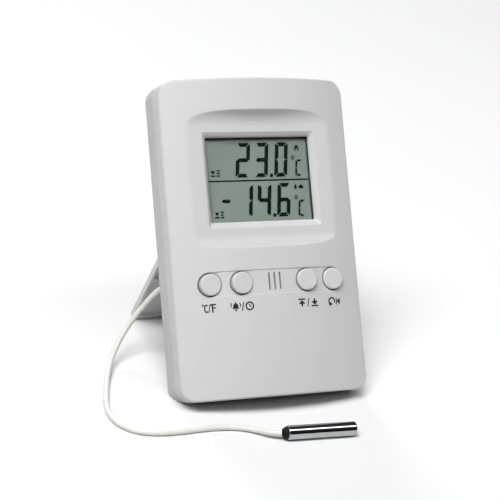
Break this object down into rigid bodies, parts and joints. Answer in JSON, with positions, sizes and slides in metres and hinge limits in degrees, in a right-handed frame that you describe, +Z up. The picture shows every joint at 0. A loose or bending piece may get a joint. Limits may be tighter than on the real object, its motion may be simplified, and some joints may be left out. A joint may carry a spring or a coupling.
{
  "type": "digital maximum minimum thermometer",
  "caption": "Desk thermometer in a flat white case leaning on its fold-out stand, with a two-row display, round push buttons and a steel probe on a thin cable.",
  "frame": {"origin": "middle of the footprint of case and open stand, on the surface they rest on; the cable and probe are left out of that footprint", "axes": "+Z up, -Y towards the side that the display faces, +X to the right as the display is read"},
  "size_m": [0.0953, 0.1018, 0.1024],
  "materials": {
    "front_shell": "fine satin",
    "rear_shell": "fine satin",
    "button_caps": "semi gloss",
    "window": "clear gloss",
    "display": "reflective display",
    "dark_plastic": "satin",
    "dark_rubber": "matte",
    "circuit_board": "solder mask",
    "plain_steel": "zinc plated",
    "probe_steel": "polished",
    "battery_wrap": "shrink sleeve",
    "cable": "soft vinyl",
    "red_wire": "soft vinyl",
    "socket": "satin"
  },
  "bodies": {
    "case": {"front_shell": "front_shell", "rear_shell": "rear_shell", "lcd_holder": "dark_plastic", "lcd_window": "window", "lcd_cell": "display", "contact_strip_low": "dark_rubber", "contact_strip_high": "dark_rubber", "circuit_board": "circuit_board", "switch_units": "dark_plastic", "switch_alert": "dark_plastic", "switch_max_min": "dark_plastic", "switch_reset": "dark_plastic", "buzzer": "dark_plastic", "chip_cover": "dark_plastic", "clock_crystal": "plain_steel", "air_sensor": "dark_plastic", "board_screw_1": "plain_steel", "board_screw_2": "plain_steel", "board_screw_3": "plain_steel", "board_screw_4": "plain_steel", "case_screw_1": "plain_steel", "case_screw_2": "plain_steel", "case_screw_3": "plain_steel", "case_screw_4": "plain_steel", "battery": "battery_wrap", "spring_contact": "plain_steel", "plate_contact": "plain_steel", "wire_red": "red_wire", "wire_black": "dark_plastic", "cable_grommet": "cable", "cable_tail": "cable", "lead_socket": "socket", "probe_cable": "cable", "probe_sleeve": "probe_steel", "probe_seal": "dark_rubber", "probe_bead": "dark_plastic"},
    "button_units": {"button_units": "button_caps"},
    "button_alert": {"button_alert": "button_caps"},
    "button_max_min": {"button_max_min": "button_caps"},
    "button_reset": {"button_reset": "button_caps"},
    "stand": {"stand": "rear_shell"},
    "battery_door": {"battery_door": "rear_shell"}
  },
  "joints": [
    {"name": "units_press", "type": "slide", "parent": "case", "child": "button_units", "axis": [0, 0.866, -0.5], "range_m": [0, 0.0007], "stiffness_N_per_m": 1500, "springref_m": -0.0004},
    {"name": "alert_press", "type": "slide", "parent": "case", "child": "button_alert", "axis": [0, 0.866, -0.5], "range_m": [0, 0.0007], "stiffness_N_per_m": 1500, "springref_m": -0.0004},
    {"name": "max_min_press", "type": "slide", "parent": "case", "child": "button_max_min", "axis": [0, 0.866, -0.5], "range_m": [0, 0.0007], "stiffness_N_per_m": 1500, "springref_m": -0.0004},
    {"name": "reset_press", "type": "slide", "parent": "case", "child": "button_reset", "axis": [0, 0.866, -0.5], "range_m": [0, 0.0007], "stiffness_N_per_m": 1500, "springref_m": -0.0004},
    {"name": "stand_hinge", "type": "hinge", "parent": "case", "child": "stand", "pos_m": [0, 0.00633, 0.04997], "axis": [1, 0, 0], "range_deg": [-63, 0]},
    {"name": "battery_door_hinge", "type": "hinge", "parent": "case", "child": "battery_door", "pos_m": [0, -0.02193, 0.00503], "axis": [-1, 0, 0], "range_deg": [0, 70]}
  ]
}
